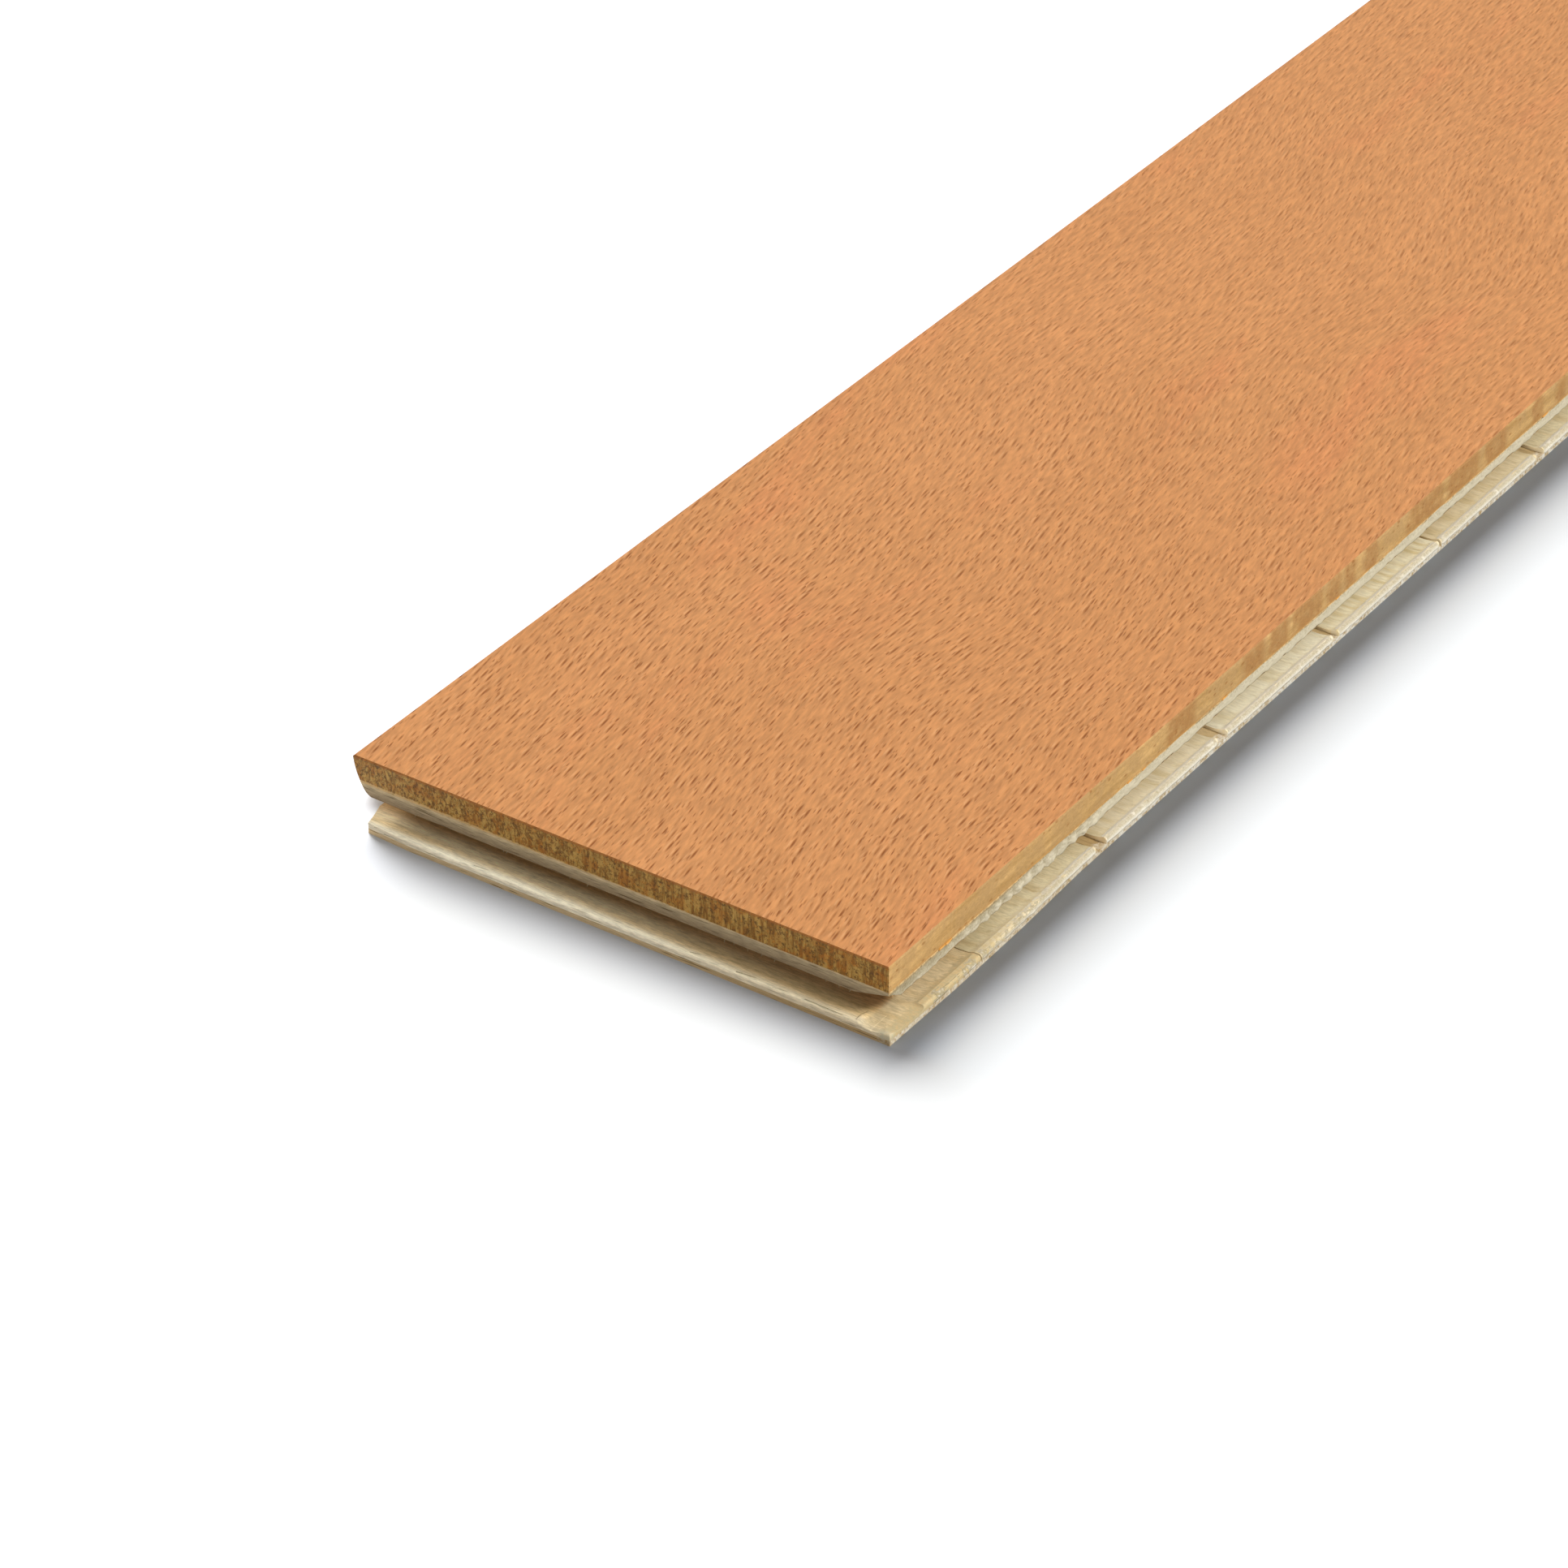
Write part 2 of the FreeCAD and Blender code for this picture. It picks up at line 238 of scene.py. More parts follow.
dot = add(tree, "Mapping", {"Vector": place, "Scale": (1 / 2.2, 1 / 2.2, 1 / 1.1)})["Vector"]
dot = add(tree, "TexVoronoi", {"Vector": dot, "Scale": 1.0})
dot_size = add(tree, "SeparateColor", {0: dot["Color"]})[0]
dot_size = add(tree, "MapRange", {"Value": dot_size, "From Min": 0.5, "From Max": 0.9,
                                  "To Min": 0.01, "To Max": 0.36})[0]
dot = add(tree, "Math", {0: dot["Distance"], 1: dot_size}, operation="DIVIDE")[0]
side = laid_over(tree, side, colour("#8E5A22"), dot, 1.1, 0.4, 0.7)
side = laid_over(tree, side, colour("#B98544"), burnt, 9.3, 8.8, 0.5, smooth=True)

# Which of the three shows, from the way that the surface faces
is_end = add(tree, "Math", {0: facing["X"]}, operation="ABSOLUTE")[0]
is_end = add(tree, "Math", {0: is_end, 1: 0.6}, operation="GREATER_THAN")[0]
is_face = add(tree, "Math", {0: facing["Z"], 1: 0.9}, operation="GREATER_THAN")[0]
skin = laid_over(tree, side, end, is_end, 0.0, 1.0)
skin = laid_over(tree, skin, face, is_face, 0.0, 1.0)
tree.links.new(skin, shader.inputs["Base Color"])
relief = add(tree, "Math", {0: dark_rays, 1: -0.9, 2: fibre}, operation="MULTIPLY_ADD")[0]
rough_end = add(tree, "Math", {0: pore, 1: 2.0, 2: streak}, operation="MULTIPLY_ADD")[0]
relief = add(tree, "Mix", {0: is_end, 2: relief, 3: rough_end}, data_type="FLOAT")[0]
bump = add(tree, "Bump", {"Height": relief, "Strength": 0.5, "Distance": 0.12 * mm})["Normal"]
tree.links.new(bump, shader.inputs["Normal"])
finished("wear_layer", beech)


# The ply under the wear layer is rotary-peeled spruce with its grain across the board, so its right edge
# is torn end grain, nearly white and tufted, and the near end is smooth greyish side grain.
fluff_line = right_y - 1.6


def softwood(name, pale, tan, line, tufted, front, ring_width, hairy, splits):
    """Unfinished softwood with its fibres across the board: growth rings as faint stripes, torn where cut across,
    and with a colour of its own on the faces that look along the board."""
    material, tree, shader, place, facing = wood(name, 0.85, 0.1)
    ring = add(tree, "Mapping", {"Vector": place, "Scale": (1 / ring_width, 1 / 70.0, 1 / 1.8)})["Vector"]
    ring = add(tree, "TexNoise", {"Vector": ring, "Scale": 1.0, "Detail": 2.0, "Roughness": 0.55})["Fac"]
    body = laid_over(tree, colour(pale), colour(tan), ring, 0.4, 0.66, smooth=True)
    sidelong = add(tree, "Math", {0: facing["X"]}, operation="ABSOLUTE")[0]
    sidelong = add(tree, "MapRange", {"Value": sidelong, "From Min": 0.5, "From Max": 0.95},
                   interpolation_type="SMOOTHSTEP")[0]
    body = laid_over(tree, body, colour(front), sidelong, 0.0, 1.0)
    hair = add(tree, "Mapping", {"Vector": place, "Scale": (1 / 0.45, 1 / 2.6, 1 / 0.3)})["Vector"]
    hair = add(tree, "TexNoise", {"Vector": hair, "Scale": 1.0, "Detail": 3.0, "Roughness": 0.7})["Fac"]
    fine = add(tree, "MapRange", {"Value": hair, "From Min": 0.3, "From Max": 0.7,
                                  "To Min": 1 - hairy, "To Max": 1 + hairy})[0]
    body = add(tree, "VectorMath", {0: body, "Scale": fine}, operation="SCALE")["Vector"]
    split = add(tree, "Mapping", {"Vector": place, "Scale": (1 / 0.9, 1 / 9.0, 1 / 0.45)})["Vector"]
    split = add(tree, "TexNoise", {"Vector": split, "Scale": 1.0, "Detail": 2.0, "Roughness": 0.6})["Fac"]
    split = add(tree, "MapRange", {"Value": split, "From Min": 0.6, "From Max": 0.7, "To Max": splits})[0]
    stronger = add(tree, "Math", {0: sidelong, 1: 0.9, 2: 1.0}, operation="MULTIPLY_ADD")[0]
    split = add(tree, "Math", {0: split, 1: stronger}, operation="MULTIPLY")[0]
    body = laid_over(tree, body, colour(line), split, 0.0, 1.0)
    tuft = add(tree, "TexNoise", {"Vector": place, "Scale": 1.1, "Detail": 3.0, "Roughness": 0.7})["Fac"]
    ends = laid_over(tree, colour(tan), colour(tufted), tuft, 0.35, 0.6)
    cut_across = add(tree, "Math", {0: facing["Y"]}, operation="ABSOLUTE")[0]
    cut_across = add(tree, "MapRange", {"Value": cut_across, "From Min": 0.35, "From Max": 0.8},
                     interpolation_type="SMOOTHSTEP")[0]
    # Near the lip's outer edge the fibres have fluffed up to white tufts on the top too
    outward = add(tree, "SeparateXYZ", {0: place})["Y"]
    outward = add(tree, "Math", {0: tuft, 1: -3.0, 2: outward}, operation="MULTIPLY_ADD")[0]
    fluffed = add(tree, "MapRange", {"Value": outward, "From Min": fluff_line - 0.4, "From Max": fluff_line - 1.7,
                                     "To Max": 0.8})[0]
    cut_across = add(tree, "Math", {0: cut_across, 1: fluffed}, operation="MAXIMUM")[0]
    body = laid_over(tree, body, ends, cut_across, 0.0, 1.0)
    tree.links.new(body, shader.inputs["Base Color"])
    relief = add(tree, "Mix", {0: cut_across, 2: hair, 3: tuft}, data_type="FLOAT")[0]
    bump = add(tree, "Bump", {"Height": relief, "Strength": 0.6, "Distance": 0.2 * mm})["Normal"]
    tree.links.new(bump, shader.inputs["Normal"])
    return material


def graded(tree, value, start, stop, first, second):
    """Socket of a colour that goes smoothly from the first to the second as the value goes from start to stop."""
    return laid_over(tree, first, second, value, start, stop, smooth=True)


def toned(tree, tone):
    """Multiply the finish's colour by a tone."""
    base = tree.nodes["Principled BSDF"].inputs["Base Color"]
    product = add(tree, "VectorMath", {0: base.links[0].from_socket, 1: tone}, operation="MULTIPLY")["Vector"]
    tree.links.new(product, base)


plain = (1.0, 1.0, 1.0, 1.0)
crossband_finish = softwood("spruce_crossply_peeled", "#A89679", "#857458", "#5E4D35", "#BFA377", "#A29073",
                            4.0, 0.3, 0.45)
# It is paler along the glue line at its top, more of it to the left, and darker and browner towards its foot, which is
# painted shade
tree = crossband_finish.node_tree
spot = add(tree, "SeparateXYZ", {0: in_mm(tree)})
glue_reach = add(tree, "MapRange", {"Value": spot["Y"], "From Min": -40.0, "From Max": 20.0, "To Max": 0.35},
                 interpolation_type="SMOOTHSTEP")[0]
glued = add(tree, "Math", {0: spot["Z"], 1: glue_reach}, operation="ADD")[0]
painted_shade_at_foot = graded(tree, spot["Z"], 5.4, 7.2, (0.76, 0.71, 0.68, 1.0), (1.04, 1.03, 1.0, 1.0))
toned(tree, graded(tree, glued, 7.45, 7.9, painted_shade_at_foot, (1.42, 1.38, 1.3, 1.0)))
finished("crossband", crossband_finish)


def ripples(place, pitch, seed):
    """Smooth random values from 0 to 1: one at each multiple of pitch, with a cosine slope between them."""
    knots = np.random.default_rng(seed).random(4096)
    step = place / pitch + 2000.0
    left = np.floor(step).astype(int)
    share = 0.5 - 0.5 * np.cos(np.pi * (step - left))
    return knots[left % 4096] * (1 - share) + knots[(left + 1) % 4096] * share


def skinned(name, rings, finish, fluff_and_shade=None):
    """Closed tubes from rings[tube, station, round]: quads between the rings and a flat cap at each end. The
    fluff_and_shade value, from 0 in the hollows and where shade is painted to 1 on a tuft, is kept at every point for
    the finish to read."""
    tubes, stations, around = rings.shape[:3]
    number = np.arange(tubes * stations * around).reshape(tubes, stations, around)
    here, ahead = number[:, :-1], number[:, 1:]
    walls = np.stack([here, np.roll(here, -1, 2), np.roll(ahead, -1, 2), ahead], -1).reshape(-1, 4)
    caps = np.concatenate([number[:, 0, ::-1], number[:, -1]])
    mesh = bpy.data.meshes.new(name)
    mesh.from_pydata(rings.reshape(-1, 3).tolist(), [], walls.tolist() + caps.tolist())
    repair = bmesh.new()
    repair.from_mesh(mesh)
    bmesh.ops.recalc_face_normals(repair, faces=repair.faces)
    repair.to_mesh(mesh)
    repair.free()
    mesh.polygons.foreach_set("use_smooth", np.ones(len(mesh.polygons), bool))
    if fluff_and_shade is not None:
        mesh.attributes.new("fluff_and_shade", "FLOAT", "POINT").data.foreach_set("value", fluff_and_shade.ravel().astype(np.float32))
    mesh.materials.append(finish)
    piece = bpy.data.objects.new(name, mesh)
    bpy.context.scene.collection.objects.link(piece)
    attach(piece, "root")


def crust(name, along, outer, inner, fluff_and_shade, finish):
    """Crust along the board: at each place along it a row of outer points, closed by two inner ones. Outer and inner
    are pairs of Y and Z, and the inner points add nothing to the fluff_and_shade value."""
    across, height = (np.concatenate([out, back], 1) for out, back in zip(outer, inner))
    rings = np.stack([np.repeat(along[:, None], across.shape[1], 1), across, height], -1)
    skinned(name, rings[None], finish, fluff_and_shade)


def torn(name, hollow_and_shade, tuft, speckle):
    """Torn fibre ends: tan in the hollows and nearly white on the tufts, by the fluff_and_shade value that each piece
    keeps, which is in part painted shade; with a fine cottony grain.
    """
    material, tree, shader, place, facing = wood(name, 0.9, 0.05)
    cotton = add(tree, "TexNoise", {"Vector": place, "Scale": 2.2, "Detail": 3.0, "Roughness": 0.7})["Fac"]
    fluff_and_shade = add(tree, "Attribute", {}, attribute_name="fluff_and_shade")["Fac"]
    fluff_and_shade = add(tree, "Math", {0: cotton, 1: speckle, 2: fluff_and_shade}, operation="MULTIPLY_ADD")[0]
    body = laid_over(tree, colour(hollow_and_shade), colour(tuft), fluff_and_shade, 0.3, 1.1)
    tree.links.new(body, shader.inputs["Base Color"])
    bump = add(tree, "Bump", {"Height": cotton, "Strength": 0.6, "Distance": 0.2 * mm})["Normal"]
    tree.links.new(bump, shader.inputs["Normal"])
    return material


# Torn fibre ends along the ply's right edge: a crust whose outer side swells and falls in tufts 1 to 3 mm wide,
# with a row of fat round ones 30 to 77 mm from the near end. Its head sinks below the ply's near the corner,
# and its foot rises there where the ply's corner has broken off.
chip_along, chip_up = 4.5 * mm, 2.1 * mm
step_along, back_of_crust = 0.3 * mm, 0.3 * mm
low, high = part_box("crossband")
along = np.arange(low.x + 0.3 * mm, high.x - 3 * mm, step_along)
upward = np.linspace(0.0, 1.0, 9)
from_near = along - face_low.x
fat = np.clip((from_near - 28 * mm) / (4 * mm), 0, 1) * np.clip((79 * mm - from_near) / (4 * mm), 0, 1)
bead = np.abs(np.sin(np.pi * from_near / (4.1 * mm) + 1.6 * ripples(along, 9 * mm, 6)))
tuft_size = 0.45 * ripples(along, 2.6 * mm, 1) + 0.35 * ripples(along, 1.1 * mm, 2) + 0.2 * ripples(along, 0.6 * mm, 3)
tuft_size = (0.05 + 0.45 * tuft_size ** 1.5 + 0.5 * fat * bead ** 1.5)[:, None] * mm
ragged_foot = low.z + (0.55 * ripples(along, 1.7 * mm, 4) - 0.2 - 0.2 * fat * bead) * mm
ragged_foot = (ragged_foot + chip_up * np.clip(1 - from_near / chip_along, 0, 1))[:, None]
corner_sag = 0.45 * np.clip(1 - from_near / (60 * mm), 0, 1)
far_sag = 0.35 * np.clip((from_near - 76 * mm) / (6 * mm), 0, 1) * ripples(along, 5 * mm, 8) ** 2
head_sag = 0.3 * ripples(along, 2.3 * mm, 5) + 0.25 * ripples(along, 9 * mm, 7) - 0.05 + corner_sag + far_sag
ragged_head = (high.z - head_sag * mm)[:, None]
rows = np.stack([ripples(along + 7 * k * mm, 0.8 * mm, 10 + k) for k in range(len(upward))], 1)
swell = np.sin(np.pi * (0.06 + 0.88 * upward))[None, :] ** 0.6
rise = tuft_size * swell * (0.3 + 1.0 * rows)
outer = low.y - rise, ragged_foot + (ragged_head - ragged_foot) * upward[None, :]
inner = np.full((len(along), 2), low.y + back_of_crust), np.concatenate([ragged_head, ragged_foot], 1)
# Colour: whiter the further a tuft stands out and towards the foot, tan in the hollows, which is in part painted
# shade; darker towards the near corner, and darker on the fat beads as painted shade where the lamp lights them most
fluff_and_shade = np.concatenate([rise / (0.8 * mm) + 0.2 + 0.6 * (1 - upward) ** 2, np.zeros((len(along), 2))], 1)
fluff_and_shade -= (1.3 * corner_sag + 0.3 * fat)[:, None]
torn_finish = torn("spruce_torn_fibre_ends", "#948667", "#CDC2A7", 1.1)
crust("crossband_torn_edge", along, outer, inner, fluff_and_shade, torn_finish)


def fibres(name, starts, ends, thickness, bend, flat, finish):
    """Thin closed fibres: six rings of six points each from start to end, thinning out, bent by a half sine.
    Starts, ends and bends are three arrays of X, Y and Z in mm, or numbers that are the same for all."""
    count = len(thickness)
    starts, ends, bend = (np.stack([np.broadcast_to(v, count) for v in vectors], 1) * mm
                          for vectors in (starts, ends, bend))
    step = np.linspace(0.0, 1.0, 6)
    run = ends - starts
    spine = starts[:, None] + run[:, None] * step[:, None] + bend[:, None] * np.sin(np.pi * step)[:, None]
    across = np.cross(run, (0.3, 0.2, 1.0))
    across /= np.linalg.norm(across, axis=1, keepdims=True)
    lift = np.cross(across, run)
    lift /= np.linalg.norm(lift, axis=1, keepdims=True)
    turn = np.arange(6) * np.pi / 3
    size = thickness[:, None, None, None] * mm / 2 * (1.0 - 0.75 * step ** 2)[None, :, None, None]
    round_it = np.cos(turn)[:, None] * across[:, None, None] + flat * np.sin(turn)[:, None] * lift[:, None, None]
    skinned(name, spine[:, :, None] + size * round_it, finish)


# Whiskers of the ply's lower edge over the near groove, each given by how far it is from the right edge
from_right = np.array((8.7, 11.8, 14.5, 26.4, 29.4, 33.0, 36.0, 38.4, 71.4, 75.7, 91.4, 92.3, 114.6))
hang = 0.35 + 0.5 * ripples(from_right, 1.7, 21)
lean = 0.8 * ripples(from_right, 1.3, 22) - 0.4
root_x, root_y, root_z = near_x + 0.15, right_y + from_right, low.z / mm + 0.1
fibres("crossband_whiskers", (root_x, root_y, root_z), (root_x - 0.25, root_y + lean, root_z - hang),
       np.full(len(hang), 0.16), (0.0, lean * 0.3, 0.0), 0.8, torn_finish)

# Crumbs of ply and glue that stick out of the joint under the wear layer at the near end
crumb_finish = torn("spruce_glue_crumbs", "#BFA06A", "#E6D8B8", 0.9)
crumb_y = right_y + np.array((43.0, 52.6, 54.2, 87.6, 89.0, 101.8, 103.4, 120.5))
crumb_half = np.array((1.2, 0.9, 0.7, 1.1, 0.6, 1.3, 0.8, 0.6))
crumb_x, crumb_z, crumb_lean = near_x + 0.12, high.z / mm + 0.05, crumb_half * 0.08
fibres("joint_crumbs", (crumb_x, crumb_y - crumb_half, crumb_z - crumb_lean),
       (crumb_x, crumb_y + crumb_half, crumb_z + crumb_lean), np.full(len(crumb_half), 0.55), (0.0, 0.0, 0.0), 0.6,
       crumb_finish)

# Amber glue that has run out of the same joint on the right side, in short flat drops
glue = bpy.data.materials.new("amber_wood_glue")
glue.use_nodes = True
tree = glue.node_tree
cloud = add(tree, "TexNoise", {"Vector": in_mm(tree), "Scale": 0.9, "Detail": 2.0})["Fac"]
cloud = laid_over(tree, colour("#C58B3A"), colour("#DBA250"), cloud, 0.0, 1.0)
tree.links.new(cloud, tree.nodes["Principled BSDF"].inputs["Base Color"])
tree.nodes["Principled BSDF"].inputs["Roughness"].default_value = 0.4
drop_x = near_x + np.array((19.2, 21.0, 88.5, 94.0, 126.0, 173.0, 266.5))
drop_half = np.array((1.7, 1.3, 1.1, 0.8, 1.2, 0.9, 1.4))
drop_size = np.array((0.8, 1.1, 0.6, 0.6, 0.7, 0.6, 0.8))
drop_y, drop_z = right_y + 0.02, high.z / mm - 0.1
fibres("joint_glue_drops", (drop_x - drop_half, drop_y, drop_z), (drop_x + drop_half, drop_y, drop_z), drop_size,
       (0.0, 0.0, 0.0), 0.5, glue)


# The core lamellas are sawn spruce strips of 44 mm, laid across with joints left open between them. The lip
# is milled out of them: their tops show the growth rings as faint stripes, their ends are torn and fluffy.
lamellas = sorted(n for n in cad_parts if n.startswith("core_lamella"))
first = softwood("spruce_lamella_first", "#D6C095", "#C9AF80", "#8F7245", "#BAAA83", "#D8BE92", 4.0, 0.24, 0.3)
tones = [softwood("spruce_lamella_" + name, pale, tan, line, tufted, "#E6D3AA", ring_width, hairy, splits)
         for name, pale, tan, line, tufted, ring_width, hairy, splits in (
             ("pinkish", "#DCCDA6", "#CFBB90", "#A88E60", "#D6C8AA", 4.0, 0.17, 0.4),
             ("cream", "#E3D4B2", "#D5C298", "#AE9566", "#DACEB4", 3.6, 0.11, 0.3),
             ("pale", "#E9DFC1", "#DCCDA7", "#B49E70", "#DCD0B8", 3.6, 0.11, 0.3),
             ("straw", "#EADEBC", "#D8C494", "#AC925E", "#D8CCB0", 2.6, 0.12, 0.3),
             ("rosy", "#E1CFA8", "#D4BF93", "#A98F60", "#D4C6A6", 4.0, 0.11, 0.35))]
# Painted shade: their milled groove is darker and browner towards its back, in under the upper lip, and a little
# lighter at its front
groove_front, groove_back = right_y - 1.4, right_y + 2.2
for finish in tones:
    tree = finish.node_tree
    spot = add(tree, "SeparateXYZ", {0: in_mm(tree)})
    toned(tree, graded(tree, spot["Y"], groove_front, groove_back, (1.07, 1.08, 1.09, 1.0), (0.82, 0.81, 0.79, 1.0)))
# The second one starts as tan as the first, so their tight joint hardly shows
tree = tones[0].node_tree
spot = add(tree, "SeparateXYZ", {0: in_mm(tree)})
toned(tree, graded(tree, spot["X"], near_x + 26.0, near_x + 46.0, (0.8, 0.77, 0.7, 1.0), plain))
# The third one's side in the first wide joint is brown
tree = tones[1].node_tree
spot = add(tree, "SeparateXYZ", {0: in_mm(tree)})
toned(tree, graded(tree, spot["X"], near_x + 75.3, near_x + 75.1, plain, (0.8, 0.72, 0.62, 1.0)))
# The first one has the near lip too, with light and shade painted on it: its crest is cream as painted light, it is
# browner deep in the groove and in under the upper lip as painted shade, both are paler to the left as painted light
# from that side, and the crest is darker again near the left end
lip_right, lip_left = -62.0, 12.0
tree = first.node_tree
spot = add(tree, "SeparateXYZ", {0: in_mm(tree)})
groove_painted_shade = graded(tree, spot["Y"], lip_right, lip_left, (1.16, 1.1, 0.98, 1.0), (1.46, 1.52, 1.62, 1.0))
groove_painted_shade = graded(tree, spot["X"], near_x - 0.5, near_x + 3.2, groove_painted_shade, (0.94, 0.78, 0.64, 1.0))
crest_painted_light = graded(tree, spot["Y"], lip_right, lip_left, (1.1, 1.2, 1.42, 1.0), (1.33, 1.56, 2.05, 1.0))
far_left = graded(tree, spot["Y"], 40.0, 52.0, plain, (0.8, 0.78, 0.76, 1.0))
crest_painted_light = add(tree, "Mix", {0: 1.0, 6: crest_painted_light, 7: far_left}, data_type="RGBA", blend_type="MULTIPLY")[2]
crest_painted_light = graded(tree, spot["X"], near_x - 4.3, near_x - 1.8, crest_painted_light, groove_painted_shade)
inside_painted_shade = graded(tree, spot["Y"], groove_front, groove_back, (1.12, 1.12, 1.12, 1.0), (0.87, 0.87, 0.87, 1.0))
inside_painted_shade = graded(tree, spot["X"], near_x - 4.6, near_x - 2.6, crest_painted_light, inside_painted_shade)
toned(tree, graded(tree, spot["Y"], right_y + 4.0, right_y + 2.6, crest_painted_light, inside_painted_shade))

# Fluffed fibre ends over the lip's nose: a thin crust that follows each lamella's outer edge, in tufts that
# stand up in clumps. Its rows run from 2.3 mm inward over the crest and the nose down to the floor. Down to
# the nose their height comes from the milled channel, whose bottom and far side are an arc. It stays inside
# the board's box where the lip bows out furthest. It starts clear of the near groove and stops at the tongue
channel, channel_start, crest_run, crest_rise = 1.9 * mm, 1.0 * mm, 3.2 * mm, 0.6 * mm
channel_radius = (crest_run ** 2 + crest_rise ** 2) / (2 * crest_rise)
joint_clear, near_groove_clear, tongue_clear = 0.1 * mm, 13.3 * mm, 9.0 * mm
soft_end, soft_start = 0.5 * mm, 4.0 * mm
inward = np.array((2.3, 1.8, 1.3, 0.9, 0.45, 0.15, 0.0, 0.0, 0.0)) * mm
nose_height = np.array((2.44, 2.22, 1.85, 1.5, 1.22)) * mm
over_nose = len(inward) - len(nose_height)
outwards = np.array((0.0, 0.0, 0.1, 0.25, 0.6, 0.9, 1.0, 1.0, 1.0))
upwards = np.array((1.0, 1.0, 0.35, 0.8, 0.8, 0.45, 0.1, 0.0, 0.0))
# How white each row is: low over the nose as painted shade, since the nose faces the lamp
row_fluff_and_shade = np.array((0.95, 0.95, 0.9, 0.65, 0.22, 0.18, 0.55, 1.0, 1.1))
lip_crust_finish = torn("spruce_lip_fibre_ends", "#AA9972", "#EEE6D2", 0.9)
for number, name in enumerate(lamellas):
    finished(name, tones[(number - 1) % len(tones)] if number else first)
    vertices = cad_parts[name].data.vertices
    points = np.empty(3 * len(vertices))
    vertices.foreach_get("co", points)
    points = points.reshape(-1, 3)
    low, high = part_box(name)
    foot = points[(points[:, 2] < low.z + 0.01 * mm) & (points[:, 1] < face_low.y - 1.5 * mm)]
    foot = foot[np.argsort(foot[:, 0])]
    along = np.arange(low.x + (joint_clear if number else near_groove_clear),
                      high.x - (tongue_clear if name == lamellas[-1] else joint_clear), step_along)
    edge = np.interp(along, foot[:, 0], foot[:, 1])
    base_y = edge[:, None] + inward
    into_groove = np.clip(face_low.y + channel_start - base_y, 0.0, crest_run)
    base_z = channel + channel_radius - np.sqrt(channel_radius ** 2 - into_groove ** 2)
    base_z[:, over_nose:] = nose_height

    # Shaggier towards the near corner, where brown shows between the tufts
    shaggy = np.clip(1.25 - (along - face_low.x) / (62 * mm), 0.14, 1.0)[:, None]
    clump = shaggy * np.clip(2.4 * ripples(along, 1.9 * mm, 31) - 1.1, 0.0, 1.0)[:, None]
    grown = np.stack([ripples(along + 5 * k * mm, 0.8 * mm, 40 + k) for k in range(len(inward))], 1) ** 1.6
    grown = 0.5 * grown + 0.5 * ripples(along, 1.2 * mm, 33)[:, None] ** 1.6
    size = ((0.18 + 0.42 * clump) * grown + 0.05 - 0.13 * shaggy) * mm
    starting = (along - along[0]) / (soft_end if number else soft_start)
    ending = np.clip(np.minimum(starting, (along[-1] - along) / soft_end), 0.0, 1.0)[:, None]
    size = size * ending - 0.05 * mm * (1 - ending)
    size[:, :over_nose] -= 0.1 * mm * (shaggy - 0.14)
    size[:, 0], size[:, 1] = -0.1 * mm, -0.04 * mm
    outer = np.maximum(base_y - size * outwards, cad_low[1] + 0.01 * mm), base_z + size * upwards * 0.8
    inner = edge[:, None] + np.array((0.5, 1.5)) * mm, np.full((len(along), 2), (1.22 * mm, 1.8 * mm))
    # Colour: whiter the further a tuft stands out and tan in the hollows, in part painted shade, with the nose rows
    # darker as painted shade
    whiter = 0.7 * np.clip((size - 0.16 * mm) / (0.12 * mm), 0.0, 1.0)
    fluff_and_shade = whiter + row_fluff_and_shade * (1 - 0.85 * shaggy) - 0.12 * shaggy
    fluff_and_shade = np.concatenate([fluff_and_shade, np.zeros((len(along), 2))], 1)
    crust("lip_fibre_ends_%02d" % (number + 1), along, outer, inner, fluff_and_shade, lip_crust_finish)

# Where the right groove crosses the near lip, its crest runs out in soft fibres from 4.4 to 1 mm off the right
# edge: above the channel, the crest's height is multiplied by a cosine slope along Y. The underside is hidden
nose_round, nose_start, nose_foot = 0.7 * mm, -4.4 * mm, 1.8 * mm
across_lip = np.linspace(-5.09, 0.9, 25) * mm
to_left = np.linspace(0.8, 4.8, 15) * mm
into_groove = np.clip(channel_start - across_lip, 0, crest_run)
crest_height = channel + channel_radius - np.sqrt(channel_radius ** 2 - into_groove ** 2)
past_crest = np.clip(nose_start - across_lip, 0, nose_round)
nose = nose_foot + np.sqrt(np.clip(nose_round ** 2 - past_crest ** 2, 0, 1))
crest_height = np.minimum(crest_height, nose)
slope = 0.5 - 0.5 * np.cos(np.pi * np.clip((to_left - 1.0 * mm) / (3.4 * mm), 0, 1))
run_out = np.minimum(channel, crest_height)[None, :] + np.maximum(crest_height - channel, 0)[None, :] * slope[:, None]
sunk_end = 0.05 * (to_left > 4.5 * mm)[:, None]
run_out += (0.02 * ripples(across_lip + 3 * mm, 0.5 * mm, 61)[None, :] + 0.012 - sunk_end) * mm
upper_x, upper_y = np.meshgrid(face_low.x + across_lip, face_low.y + to_left)
upper = np.stack([upper_x, upper_y, run_out], -1)
lower = np.stack([upper_x[:, ::-1], upper_y[:, ::-1], np.full(upper_x.shape, 1.2 * mm)], -1)
skinned("corner_run_out", np.concatenate([upper, lower], 1)[None], first)

